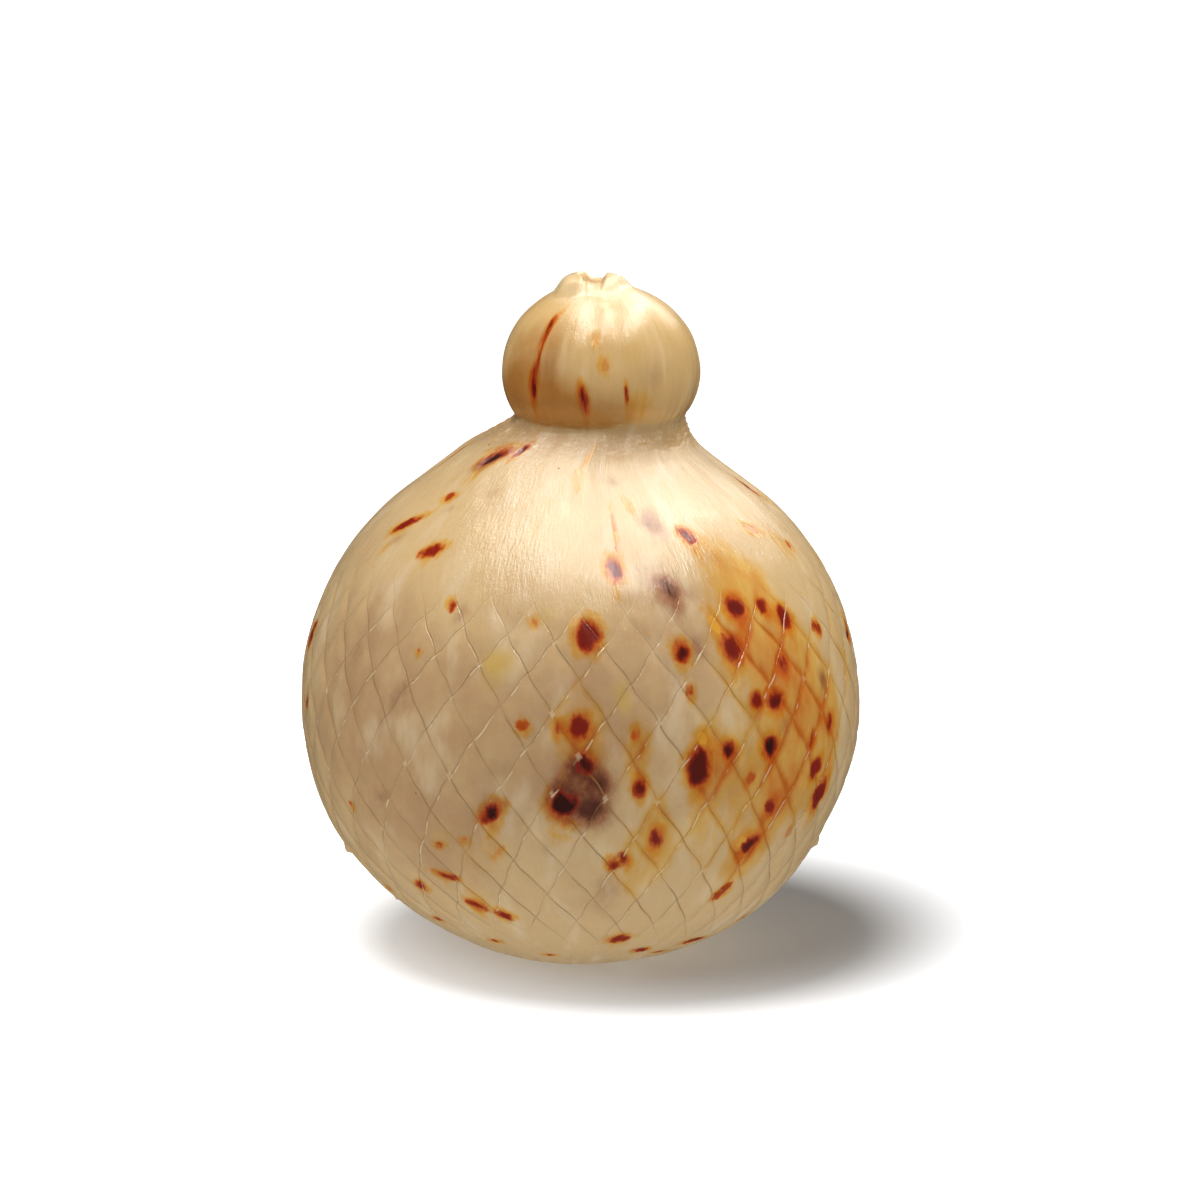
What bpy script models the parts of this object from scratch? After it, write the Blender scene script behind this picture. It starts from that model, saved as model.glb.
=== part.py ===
"""A whole caciocavallo: a round-bellied cheese with a tied neck and a small head, its belly marked by the
net that it hung in. One solid piece, standing on the small flat spot that it has settled on.

Blender units are metres, +Z is up and the side with the deepest colour in the head's folds faces -Y.
A place on the skin is a bearing, in degrees from -Y towards +X, and a run: the distance up the meridian
from the edge of the foot.
"""

import math

import bmesh
import bpy
from mathutils import Vector, noise

MM = 0.001

# Belly
BELLY_RADIUS = 70.0 * MM
WAIST_HEIGHT = 65.0 * MM
FOOT_RADIUS = 20.5 * MM
SHOULDER_RISE = 66.6 * MM  # upper semi-axis of the belly's ellipse
SHOULDER_END = 118.0 * MM  # height where the ellipse gives way to the neck's sweep
BELLY_SWAY = 0.4 * MM  # how far the belly wanders from a turned form
BULGES = (  # bearing, height, spread and size of the places that have settled outwards
    (80.0, 15.0 * MM, 15.0 * MM, 1.1 * MM),
    (-90.0, 31.0 * MM, 19.0 * MM, 1.0 * MM),
    (85.0, 55.0 * MM, 16.0 * MM, 0.9 * MM),
)

# Neck, where the cord was tied
NECK_RADIUS = 21.1 * MM
NECK_HEIGHT = 136.0 * MM
SWEEP_OUT = (36.2 * MM, 123.0 * MM)  # radius and height of the sweep's lower handle
SWEEP_IN = (23.4 * MM, 132.0 * MM)  # and of its upper handle
PLEAT_DEPTH = 0.55 * MM
PLEATS_ROUND = 3.4  # how fast the pleats vary round the neck

# Head
HEAD_RADIUS = 24.7 * MM
HEAD_HEIGHT = 147.3 * MM
HEAD_UNDERSIDE = 20.0 * MM
HEAD_DOME = 22.4 * MM
HEAD_LEAN = 5.2 * MM  # towards +X
LEAN_HEIGHTS = (127.0 * MM, 138.0 * MM)
FOLD_DEPTH = 1.1 * MM
FOLD_BEARING = -42.0  # the deep crease down the head's left front
FOLD_HEIGHTS = (139.0 * MM, 164.0 * MM)

# Mouth: two lips of pinched paste with a slit between them that runs front to back
MOUTH_SHIFT = -2.2 * MM  # from the head's own axis
MOUTH_RADIUS = 9.4 * MM
MOUTH_REACH = 12.8 * MM  # run from the apex within which the skin is finely cut
LIP_RISES = (2.6 * MM, 2.1 * MM)  # left lip, right lip
SLIT_SHIFT = 0.7 * MM
SLIT_HALF_WIDTH = 2.3 * MM
SLIT_RISE = 0.6 * MM
PIT_RADIUS = 3.2 * MM
PIT_DEPTH = 2.4 * MM

# Net marks
NET_CELLS = 34
NET_DEPTH = 0.6 * MM
NET_TOP_ROW = 124.4 * MM  # run of the topmost row of knots
NET_PITCHES = (10.2 * MM, 8.6 * MM)  # row to row, low on the belly and at the top
PITCH_RUNS = (86.0 * MM, 112.0 * MM)  # between these the pitch passes from one to the other
NET_ROWS = 10
NET_TILT = 7.5 * MM  # the rows hang lower towards +X
NET_TWIST = 130.0  # degrees per metre that the lowest rows turn
TWIST_BELOW = 73.0 * MM

# Mesh
STRANDS_PER_CELL = 4
COLUMNS = NET_CELLS * STRANDS_PER_CELL
FOOT_RINGS = 4
SHOULDER_RINGS = 9
HEAD_RINGS = 17
MOUTH_RING = 0.85 * MM
DENSE_STEPS = 240


def smooth(low, high, value):
    """0 below low, 1 above high, with a soft step between."""
    t = min(1.0, max(0.0, (value - low) / (high - low)))
    return t * t * (3 - 2 * t)


def ellipse_arc(radius, centre, rise, start, end, steps):
    """Points (radius, height) on an ellipse about the axis, between two angles from the horizontal."""
    angles = [start + (end - start) * i / steps for i in range(steps + 1)]
    return [(radius * math.cos(a), centre + rise * math.sin(a)) for a in angles]


def sweep_curve(start, out, inner, end, steps):
    """A cubic curve from the shoulder into the neck."""
    points = []
    for i in range(steps + 1):
        t = i / steps
        weights = ((1 - t) ** 3, 3 * t * (1 - t) ** 2, 3 * t * t * (1 - t), t**3)
        points.append(tuple(sum(w * p[k] for w, p in zip(weights, (start, out, inner, end))) for k in (0, 1)))
    return points


def build_meridian():
    """The whole outline as dense (radius, height) points with the run up to each."""
    lower = WAIST_HEIGHT / math.sqrt(1 - (FOOT_RADIUS / BELLY_RADIUS) ** 2)
    belly = ellipse_arc(BELLY_RADIUS, WAIST_HEIGHT, lower, -math.asin(WAIST_HEIGHT / lower), 0, DENSE_STEPS)
    top = math.asin((SHOULDER_END - WAIST_HEIGHT) / SHOULDER_RISE)
    shoulder = ellipse_arc(BELLY_RADIUS, WAIST_HEIGHT, SHOULDER_RISE, 0, top, DENSE_STEPS)
    sweep = sweep_curve(shoulder[-1], SWEEP_OUT, SWEEP_IN, (NECK_RADIUS, NECK_HEIGHT), DENSE_STEPS)
    under = -math.acos(NECK_RADIUS / HEAD_RADIUS)
    underside = ellipse_arc(HEAD_RADIUS, HEAD_HEIGHT, HEAD_UNDERSIDE, under, 0, DENSE_STEPS)
    dome = ellipse_arc(HEAD_RADIUS, HEAD_HEIGHT, HEAD_DOME, 0, math.pi / 2, DENSE_STEPS)
    points = belly + shoulder[1:] + sweep[1:] + underside[1:] + dome[1:]
    runs = [0.0]
    for (r0, z0), (r1, z1) in zip(points, points[1:]):
        runs.append(runs[-1] + math.hypot(r1 - r0, z1 - z0))
    neck_run = runs[len(belly) + len(shoulder) + len(sweep) - 3]
    return points, runs, neck_run


MERIDIAN, RUNS, NECK_RUN = build_meridian()
TOP_RUN = RUNS[-1]
MOUTH_RUN = TOP_RUN - MOUTH_REACH


def on_meridian(run):
    """(radius, height, outward radial share, outward vertical share) at a run."""
    run = min(max(run, 0.0), TOP_RUN)
    low, high = 0, len(RUNS) - 1
    while high - low > 1:
        middle = (low + high) // 2
        low, high = (middle, high) if RUNS[middle] <= run else (low, middle)
    (r0, z0), (r1, z1) = MERIDIAN[low], MERIDIAN[high]
    span = RUNS[high] - RUNS[low]
    t = (run - RUNS[low]) / span
    return r0 + (r1 - r0) * t, z0 + (z1 - z0) * t, (z1 - z0) / span, -(r1 - r0) / span


def net_row_runs():
    """Runs of the rows of knots and of the rings half-way between them, from the top down."""
    rows = [NET_TOP_ROW]
    for _ in range(NET_ROWS):
        close = smooth(*PITCH_RUNS, rows[-1])
        rows.append(rows[-1] - NET_PITCHES[0] * (1 - close) - NET_PITCHES[1] * close)
    halves = [(a + b) / 2 for a, b in zip(rows, rows[1:])]
    return sorted(rows + halves)


def net_depth_share(run):
    """The marks fade out on the shoulder and under the belly."""
    return smooth(NET_TOP_ROW, NET_TOP_ROW - 14 * MM, run) * smooth(24 * MM, 44 * MM, run)


def net_relief(column, net_ring, run):
    """How far the skin is pressed in. A strand runs through every fourth lattice line each way."""
    apart = min(abs((column - net_ring + 2) % 4 - 2), abs((column + net_ring + 2) % 4 - 2))
    pressed = {0: 1.0, 1: 0.22, 2: 0.0}[apart]
    return -NET_DEPTH * pressed * net_depth_share(run)


def pleat_relief(bearing, run):
    """Pleats that gather at the neck and run out on the shoulder and the head."""
    angle = math.radians(bearing)
    gathered = math.exp(-(((run - NECK_RUN) / (16 * MM)) ** 2))
    place = Vector((PLEATS_ROUND * math.cos(angle), PLEATS_ROUND * math.sin(angle), run * 12))
    return PLEAT_DEPTH * noise.noise(place) * 1.6 * gathered


def fold_relief(bearing, height):
    """The deep crease down the left front of the head."""
    along = smooth(FOLD_HEIGHTS[0], FOLD_HEIGHTS[0] + 6 * MM, height)
    along *= 1 - smooth(FOLD_HEIGHTS[1] - 5 * MM, FOLD_HEIGHTS[1], height)
    across = (bearing - FOLD_BEARING) / 4.5
    return -FOLD_DEPTH * along * math.exp(-across * across)


def mouth_relief(across, back):
    """Height that the lips add at a place measured from the mouth's centre, and the pit between them."""
    out = math.hypot(across, back)
    disc = 1 - smooth(0.9 * MOUTH_RADIUS, 1.05 * MOUTH_RADIUS, out)
    rise = LIP_RISES[0] if across < 0 else LIP_RISES[1]
    rise *= 1 - 0.22 * smooth(0.62 * MOUTH_RADIUS, 0.98 * MOUTH_RADIUS, out)
    slit = smooth(0.7 * SLIT_HALF_WIDTH, 1.4 * SLIT_HALF_WIDTH, abs(across - SLIT_SHIFT))
    pit = 1 - smooth(0.35 * PIT_RADIUS, 1.25 * PIT_RADIUS, out)
    return disc * (SLIT_RISE + (rise - SLIT_RISE) * slit) - (PIT_DEPTH + rise) * pit


def belly_sway(bearing, run):
    """Slow wandering of the belly, and the places where it has settled outwards."""
    angle = math.radians(bearing)
    place = Vector((1.1 * math.cos(angle), 1.1 * math.sin(angle), run * 16))
    height = on_meridian(run)[1]
    push = BELLY_SWAY * noise.noise(place) * 1.5
    for towards, middle, spread, size in BULGES:
        facing = max(0.0, math.cos(math.radians(bearing - towards)))
        push += size * facing**2 * math.exp(-(((height - middle) / spread) ** 2))
    return push


def skin_point(column, ring_run, net_ring):
    """The finished place of one lattice point."""
    free = smooth(0, 12 * MM, ring_run) * (1 - smooth(NECK_RUN - 22 * MM, NECK_RUN - 4 * MM, ring_run))
    bearing = column * 360.0 / COLUMNS
    run = ring_run - NET_TILT * math.sin(math.radians(bearing)) * free
    bearing += NET_TWIST * max(0.0, TWIST_BELOW - max(run, TWIST_BELOW / 3))
    radius, height, radial, vertical = on_meridian(run)
    push = belly_sway(bearing, run) * smooth(0, 10 * MM, run)
    push += pleat_relief(bearing, run)
    if net_ring is not None:
        push += net_relief(column, net_ring, run)
    turn = (bearing + 180) % 360 - 180
    push += fold_relief(turn, height)
    angle = math.radians(bearing)
    radius += push * radial
    height += push * vertical
    lean = HEAD_LEAN * smooth(*LEAN_HEIGHTS, height)
    across, back = radius * math.sin(angle), -radius * math.cos(angle)
    if run > MOUTH_RUN:
        height += mouth_relief(across - MOUTH_SHIFT, back)
    return Vector((across + lean, back, height))


def ring_plan():
    """(run, net ring number or None) of every ring between the foot's edge and the apex."""
    net = net_row_runs()
    plan = [(net[0] * i / (FOOT_RINGS + 1), None) for i in range(FOOT_RINGS + 1)]
    plan += [(run, len(net) - 1 - i) for i, run in enumerate(net)]
    plan += [(net[-1] + (NECK_RUN - net[-1]) * i / SHOULDER_RINGS, None) for i in range(1, SHOULDER_RINGS + 1)]
    plan += [(NECK_RUN + (MOUTH_RUN - NECK_RUN) * i / HEAD_RINGS, None) for i in range(1, HEAD_RINGS + 1)]
    mouth_rings = round((TOP_RUN - MOUTH_RUN) / MOUTH_RING)
    plan += [(MOUTH_RUN + (TOP_RUN - MOUTH_RUN) * i / mouth_rings, None) for i in range(1, mouth_rings)]
    return plan


def turn_outline(mesh, plan):
    """Spins the outline into a skin of quads. Each vertex remembers its ring."""
    ring_layer = mesh.verts.layers.int.new("ring")
    outline = []
    for ring, (run, _) in enumerate([*plan, (TOP_RUN, None)]):
        radius, height, _, _ = on_meridian(run)
        vertex = mesh.verts.new((0.0, -radius, height))
        vertex[ring_layer] = ring
        outline.append(vertex)
    edges = [mesh.edges.new(pair) for pair in zip(outline, outline[1:])]
    bmesh.ops.spin(
        mesh, geom=outline + edges, cent=(0, 0, 0), axis=(0, 0, 1), angle=math.tau, steps=COLUMNS
    )
    bmesh.ops.remove_doubles(mesh, verts=mesh.verts, dist=1e-6)
    return ring_layer


def thin_out(mesh, ring_layer, plan):
    """Joins the faces two by two where no net is pressed in, as the form is plain there."""
    marked = [ring for ring, (_, net_ring) in enumerate(plan) if net_ring is not None]
    spare = []
    for edge in mesh.edges:
        rings = [vertex[ring_layer] for vertex in edge.verts]
        plain = max(rings) <= marked[0] or min(rings) >= marked[-1]
        lower = min(edge.verts, key=lambda vertex: vertex[ring_layer])
        if rings[0] != rings[1] and plain and column_of(lower) % 2 == 1:
            spare.append(edge)
    bmesh.ops.dissolve_edges(mesh, edges=spare, use_verts=True)


def column_of(vertex):
    angle = math.atan2(vertex.co.x, -vertex.co.y)
    return round(angle * COLUMNS / math.tau) % COLUMNS


def fan_borders(mesh, ring_layer):
    """Cuts each five-cornered face between the fine net and the plain form into three clean triangles."""
    for face in [face for face in mesh.faces if len(face.verts) == 5]:
        middle = next(vertex for vertex in face.verts if column_of(vertex) % 2 == 1)
        far = [vertex for vertex in face.verts if vertex[ring_layer] != middle[ring_layer]]
        for corner in far:
            shared = next(f for f in middle.link_faces if corner in f.verts)
            bmesh.utils.face_split(shared, middle, corner)


def split_along_strands(mesh, ring_layer, plan):
    """Cuts each quad of the net along the strand that crosses it, so that the mark is a clean V."""
    for face in list(mesh.faces):
        corners = [(column_of(v), plan[v[ring_layer]][1] if v[ring_layer] < len(plan) else None, v) for v in face.verts]
        if len(corners) != 4 or any(net_ring is None for _, net_ring, _ in corners):
            continue
        pressed = [v for column, net_ring, v in corners if (column - net_ring) % 4 == 0 or (column + net_ring) % 4 == 0]
        opposite = len(pressed) == 2 and not any(pressed[1] in edge.verts for edge in pressed[0].link_edges)
        if opposite:
            bmesh.utils.face_split(face, pressed[0], pressed[1])


def shape_skin(mesh, ring_layer, plan):
    """Moves every vertex from the turned form to its finished place."""
    for vertex in mesh.verts:
        ring = vertex[ring_layer]
        run, net_ring = plan[ring] if ring < len(plan) else (TOP_RUN, None)
        vertex.co = skin_point(column_of(vertex), run, net_ring)


def close_foot(mesh):
    """Fills the flat spot."""
    rim = [edge for edge in mesh.edges if edge.is_boundary]
    bmesh.ops.contextual_create(mesh, geom=rim)


def cheese_material():
    material = bpy.data.materials.new("cheese")
    material.use_nodes = True
    shader = material.node_tree.nodes["Principled BSDF"]
    shader.inputs["Base Color"].default_value = (0.74, 0.56, 0.31, 1.0)
    shader.inputs["Roughness"].default_value = 0.38
    shader.inputs["Metallic"].default_value = 0.0
    return material


def make_cheese():
    plan = ring_plan()
    mesh = bmesh.new()
    ring_layer = turn_outline(mesh, plan)
    thin_out(mesh, ring_layer, plan)
    fan_borders(mesh, ring_layer)
    split_along_strands(mesh, ring_layer, plan)
    shape_skin(mesh, ring_layer, plan)
    close_foot(mesh)
    bmesh.ops.recalc_face_normals(mesh, faces=mesh.faces)
    data = bpy.data.meshes.new("cheese")
    mesh.to_mesh(data)
    mesh.free()
    data.shade_smooth()
    data.set_sharp_from_angle(angle=math.radians(40))
    data.materials.append(cheese_material())
    cheese = bpy.data.objects.new("cheese", data)
    bpy.context.scene.collection.objects.link(cheese)
    return cheese


for left_over in list(bpy.data.objects):
    bpy.data.objects.remove(left_over)
make_cheese()
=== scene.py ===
import math
import random

import bpy
import numpy as np
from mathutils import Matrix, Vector, noise


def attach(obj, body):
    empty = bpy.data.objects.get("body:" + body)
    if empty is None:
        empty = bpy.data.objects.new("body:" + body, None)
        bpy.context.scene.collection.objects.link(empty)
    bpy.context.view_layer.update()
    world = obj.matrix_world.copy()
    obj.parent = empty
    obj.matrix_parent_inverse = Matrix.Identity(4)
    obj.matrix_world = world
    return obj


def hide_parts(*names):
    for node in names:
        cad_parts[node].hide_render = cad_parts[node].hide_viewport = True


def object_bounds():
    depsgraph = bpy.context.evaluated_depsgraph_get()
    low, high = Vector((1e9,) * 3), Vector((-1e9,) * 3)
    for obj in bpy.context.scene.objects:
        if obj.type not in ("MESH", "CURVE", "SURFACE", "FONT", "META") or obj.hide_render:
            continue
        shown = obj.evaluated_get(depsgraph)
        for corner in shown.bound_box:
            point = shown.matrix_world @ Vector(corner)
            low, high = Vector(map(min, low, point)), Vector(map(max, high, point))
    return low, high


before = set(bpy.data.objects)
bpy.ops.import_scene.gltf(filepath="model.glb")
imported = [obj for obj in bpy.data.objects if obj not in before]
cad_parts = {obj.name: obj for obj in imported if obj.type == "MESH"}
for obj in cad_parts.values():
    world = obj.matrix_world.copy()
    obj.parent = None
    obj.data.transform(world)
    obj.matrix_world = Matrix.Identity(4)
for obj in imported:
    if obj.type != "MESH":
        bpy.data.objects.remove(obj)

# A whole caciocavallo: waxy ivory skin marked by the net that it hung in, with chili flakes in and under it.
# A place on the skin is a bearing, in degrees from -Y towards +X, and a run: the distance in metres up the
# meridian from the edge of the foot. Inside the foot the run is negative.

MM = 0.001
CAD_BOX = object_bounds()

# The form, as in the part's source
BELLY_RADIUS = 70.0 * MM
WAIST_HEIGHT = 65.0 * MM
FOOT_RADIUS = 20.5 * MM
SHOULDER_RISE = 66.6 * MM
SHOULDER_END = 118.0 * MM
BELLY_SWAY = 0.4 * MM
BULGES = (  # bearing, height, spread and size of the places that have settled outwards
    (80.0, 15.0 * MM, 15.0 * MM, 1.1 * MM),
    (-90.0, 31.0 * MM, 19.0 * MM, 1.0 * MM),
    (85.0, 55.0 * MM, 16.0 * MM, 0.9 * MM),
)
NECK_RADIUS = 21.1 * MM
NECK_HEIGHT = 136.0 * MM
SWEEP_OUT = (36.2 * MM, 123.0 * MM)
SWEEP_IN = (23.4 * MM, 132.0 * MM)
PLEAT_DEPTH = 0.55 * MM
PLEATS_ROUND = 3.4
HEAD_RADIUS = 24.7 * MM
HEAD_HEIGHT = 147.3 * MM
HEAD_UNDERSIDE = 20.0 * MM
HEAD_DOME = 22.4 * MM
HEAD_LEAN = 5.2 * MM
LEAN_HEIGHTS = (127.0 * MM, 138.0 * MM)
MOUTH_SHIFT = -2.2 * MM
MOUTH_RADIUS = 9.4 * MM
LIP_RISES = (2.6 * MM, 2.1 * MM)
SLIT_SHIFT = 0.7 * MM
SLIT_HALF_WIDTH = 2.3 * MM
SLIT_RISE = 0.6 * MM
PIT_RADIUS = 3.2 * MM
PIT_DEPTH = 2.4 * MM

# The net
NET_CELLS = 34
NET_TOP_ROW = 124.4 * MM
NET_PITCHES = (10.2 * MM, 8.6 * MM)
PITCH_RUNS = (86.0 * MM, 112.0 * MM)
NET_ROWS = 10
NET_TILT = 7.5 * MM
NET_TWIST = 130.0
TWIST_BELOW = 73.0 * MM
PILLOW_DEPTH = 0.45 * MM
PILLOW_EDGE = 0.19  # in cells from the thread
THREAD_WAVE = 0.022  # in cells
FALLING_LINE = 0.034  # half width of the line along a falling thread, in cells
RISING_LINE = 0.024
THREAD_CORE = 0.004
LINE_DEPTH = 0.22  # in mm

# Fine skin that the part's solid leaves out
TIE_MARK_DEPTH = 0.45 * MM
FINE_PLEATS = 0.1 * MM
DIMPLES = 0.16 * MM
HEAD_CREASES = (  # bearing, lowest and highest run, depth and half width in degrees
    (-42.0, 183 * MM, 209 * MM, 0.9 * MM, 2.4),
    (-10.0, 182 * MM, 192 * MM, 0.3 * MM, 3.0),
    (10.0, 192 * MM, 217 * MM, 0.45 * MM, 7.0),
    (118.0, 182 * MM, 213 * MM, 0.5 * MM, 5.0),
    (163.0, 183 * MM, 210 * MM, 0.8 * MM, 3.5),
    (-124.0, 182 * MM, 212 * MM, 0.5 * MM, 5.0),
)
SHOULDER_CREASES = (
    (10.5, 128 * MM, 172 * MM, 0.35 * MM, 5.5),
    (-37.0, 150 * MM, 173 * MM, 0.25 * MM, 5.0),
    (38.0, 148 * MM, 174 * MM, 0.15 * MM, 6.0),
    (88.0, 140 * MM, 173 * MM, 0.5 * MM, 6.0),
    (-97.0, 142 * MM, 173 * MM, 0.5 * MM, 6.0),
    (146.0, 138 * MM, 173 * MM, 0.6 * MM, 6.0),
    (-150.0, 136 * MM, 173 * MM, 0.5 * MM, 5.0),
)

# Chili flakes that show on the skin: bearing, run in mm, length and width in mm, slant of the length from
# upright towards +X in degrees, and tone from 0 (golden) through 0.5 (red) to 1 (black)
FLAKES = (
    (2, 118, 7.5, 6.0, 0, 0.75), (9, 135, 6.5, 3.4, -5, 0.8), (11, 146, 15, 1.0, 2, 0.15),
    (33, 143, 4.5, 3.6, -30, 0.9), (38, 122, 6.0, 5.0, -15, 0.8), (46, 121, 3.5, 2.5, -20, 0.7),
    (52, 117, 6.2, 5.0, -25, 0.65), (63, 112, 3.6, 3.2, 0, 0.6), (34, 112, 7.0, 5.2, -15, 0.75),
    (31, 119, 7.5, 3.0, -15, 0.04), (22, 113, 5.0, 4.0, 0, 0.9), (47, 106, 4.2, 3.4, 0, 0.75),
    (38, 99, 3.8, 3.6, 0, 0.7), (43, 98, 4.6, 5.0, 0, 0.85), (23, 103, 3.0, 1.8, 0, 0.45),
    (41, 87, 5.0, 4.6, 25, 1.0), (31, 88, 4.6, 3.6, -20, 0.9), (24, 85, 9.5, 6.0, 0, 0.85),
    (25, 92, 5.0, 3.0, -30, 0.05), (0, 96, 6.0, 4.5, 20, 0.7), (-4, 96, 3.5, 2.0, 20, 0.5),
    (-11, 96, 3.0, 3.0, 0, 0.35), (11, 94, 3.5, 2.0, 0, 0.3), (1, 87, 5.0, 4.6, 0, 0.9),
    (-3, 77, 7.5, 7.2, 60, 1.0), (12, 81, 4.8, 3.2, 0, 0.85), (-18, 74, 7.0, 4.0, 45, 0.95),
    (16, 67, 5.5, 2.8, 0, 0.7), (40, 61, 6.0, 5.0, 50, 0.85), (37, 63, 4.5, 3.6, 0, 0.05),
    (7, 60, 3.6, 2.4, 0, 0.6), (10, 61, 3.0, 2.0, -20, 0.55), (37, 46, 6.0, 3.0, 30, 0.4),
    (-32, 53, 6.0, 2.2, -75, 0.55), (-42, 47, 4.0, 3.0, 60, 0.5), (-27, 43, 4.6, 3.4, -50, 0.65),
    (-20, 40, 4.2, 3.4, -60, 0.65), (-44, 137, 6.5, 3.4, 60, 0.6), (-49, 167, 7.2, 3.4, 38, 1.0),
    (-53, 170.5, 6.0, 2.0, 62, 0.12), (-37.5, 170.5, 3.6, 1.6, 12, 1.0), (-62, 142, 9.0, 2.6, 45, 0.7),
    (-53, 153, 3.5, 2.2, 60, 0.4), (-31, 124, 2.6, 1.8, -20, 0.45), (-10, 121, 3.0, 2.0, 0, 0.2),
    (-36, 111, 1.6, 1.2, 0, 0.3), (59, 141, 6.0, 3.2, -50, 0.15), (43, 71, 4.2, 3.2, -10, 0.65),
    (60, 70, 8.5, 5.0, 20, 0.7), (56, 78, 6.0, 4.0, 30, 0.6), (54, 86, 4.0, 2.0, 10, 0.75),
    (61, 88, 4.5, 2.4, 15, 0.6), (36, 80, 3.4, 2.2, 10, 0.3), (52, 62, 4.0, 3.0, 0, 0.15),
    (-31, 63, 2.2, 1.4, 60, 0.5), (-25, 65, 3.0, 2.2, 50, 0.2), (-17, 63, 4.5, 1.6, 40, 0.1),
    (-56, 68, 2.0, 1.6, 0, 0.3), (12, 29, 5.0, 4.0, 70, 0.5), (23, 20, 4.0, 3.0, 80, 0.5),
    (44, 22, 6.5, 3.0, 90, 0.5), (-30, 24, 3.0, 1.6, 80, 0.45), (-48, 31, 3.2, 1.8, 80, 0.4),
    (-12, 17, 3.4, 1.6, 90, 0.35), (-62, 40, 3.0, 2.0, 60, 0.5), (34, 16, 4.0, 1.8, 90, 0.4),
    (60, 30, 4.0, 2.2, 70, 0.3), (-82, 105, 7.0, 2.4, 10, 0.6), (88, 150, 7.0, 2.4, -20, 0.65),
    (83, 105, 7.0, 2.6, 0, 0.85), (-88, 164, 6.0, 2.0, 0, 0.6), (-75, 90, 4.0, 2.5, 0, 0.4),
    (72, 133, 1.6, 1.4, 0, 0.95), (2, 169, 6.0, 1.0, 0, 0.06), (-1, 161, 6.0, 1.4, 0, 0.06),
    (18, 153, 5.0, 1.2, -10, 0.12), (-43, 189, 7.0, 1.5, 0, 0.85), (-41, 196, 22.0, 1.2, 6, 0.4),
    (-41, 204, 7.0, 1.5, 8, 0.85), (-3, 202, 3.6, 2.4, 0, 0.02), (2, 195, 3.6, 2.2, 0, 0.12),
    (-10, 187, 6.5, 2.0, -10, 0.8), (15, 188, 4.0, 0.8, -5, 0.5),
)

# Flakes and pools that show through the skin: bearing, run, length, width, slant and strength
SUNKEN = (
    (22, 128, 14, 8.5, -20, 0.8), (24, 147, 12, 9, 0, 0.6), (14, 162, 5, 6, 0, 0.35),
    (60, 99, 8, 5, -10, 0.6), (6, 98, 20, 8, 0, 0.2), (-54, 108, 8, 6, 0, 0.35),
    (-39, 100, 12, 8, 20, 0.35), (-22, 92, 8, 8, 0, 0.25), (-28, 122, 6, 5, 30, 0.4),
    (-33, 158, 9, 4, 40, 0.3), (-44, 74, 11, 8, 0, 0.35), (-6, 65, 8, 7, 0, 0.25), (6, 51, 10, 8, 0, 0.3),
    (16, 132, 12, 6, 0, 0.2), (2.4, 75.5, 11, 10, 0, 1.0), (0.5, 86, 10, 9, 0, 0.9),
    (4.0, 82.5, 8, 7, 0, 0.85), (-3, 79, 12, 9, 0, 0.95), (-50, 166, 10, 5, 38, 0.85),
    (-18, 75, 10, 7, 45, 0.6), (26, 113, 7, 5, 0, 0.45), (35, 89, 6, 5, 0, 0.4), (45, 91, 6, 5, 0, 0.45),
    (-60, 138, 9, 4, 40, 0.4), (-48, 150, 7, 4, 50, 0.3),
)
ROSY_AND_SHADE = (  # broad rosy clouds, written in the same way; they also paint shade on the middle and left of the belly and on the sides of the head
    (-50, 92, 70, 56, 0, 0.6), (-5, 95, 52, 60, 0, 0.55), (20, 118, 40, 36, 0, 0.5),
    (35, 80, 50, 40, 0, 0.3), (-30, 66, 40, 40, 0, 0.45), (6, 50, 16, 14, 0, 0.4),
    (-30, 196, 16, 9, 0, 0.4), (30, 192, 10, 8, 0, 0.35),
)
OIL = (  # places where the chili oil has soaked in
    (41, 132, 28, 18, -30, 0.55), (40, 114, 34, 24, 0, 0.75), (50, 98, 34, 24, 0, 0.9),
    (29, 84, 26, 16, -10, 0.6), (46, 76, 26, 20, 0, 0.85), (60, 86, 34, 14, 0, 0.7),
    (66, 135, 18, 12, -30, 0.35), (12, 90, 24, 8, 0, 0.5), (16, 70, 20, 7, 0, 0.45),
    (0, 92, 36, 18, 0, 0.5), (74, 100, 70, 16, 0, 0.3), (24, 184, 12, 9, 0, 0.6),
    (8, 205, 16, 6, 0, 0.35), (30, 67, 34, 30, 0, 0.3), (12, 58, 30, 18, 0, 0.35),
    (-20, 62, 20, 20, 60, 0.3), (-26, 46, 16, 12, 0, 0.35), (40, 56, 16, 14, 20, 0.6),
    (15, 140, 18, 4, 0, 0.3),
)
STRAW = (  # pale yellow pools
    (-18, 110, 15, 11, 0, 0.6), (-8, 122, 14, 9, 0, 0.35), (-30, 66, 26, 14, 30, 0.4),
    (9, 103, 12, 6, 0, 0.6), (-14, 146, 22, 5, 10, 0.4), (-60, 158, 18, 6, 50, 0.4),
    (20, 198, 20, 8, 0, 0.35), (52, 52, 14, 10, 0, 0.35),
)
CRUMBS = (  # little lumps on the skin: bearing, run, width and height in mm
    (-76, 49, 3.0, 0.9), (-80, 30, 3.6, 1.0), (-84, 20, 4.0, 0.9), (78, 74, 2.6, 0.9), (80, 50, 3.4, 0.9),
    (-10, 73, 1.4, 0.3), (34, 93, 1.6, 0.35), (150, 60, 3.0, 0.7), (-140, 40, 3.0, 0.7),
)
BACK_BEARINGS = (92.0, 268.0)
BACK_FLAKES = 62
BACK_SEED = 5
HEAD_FLAKE_EVERY = 12  # one back flake in so many lies on the head

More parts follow.
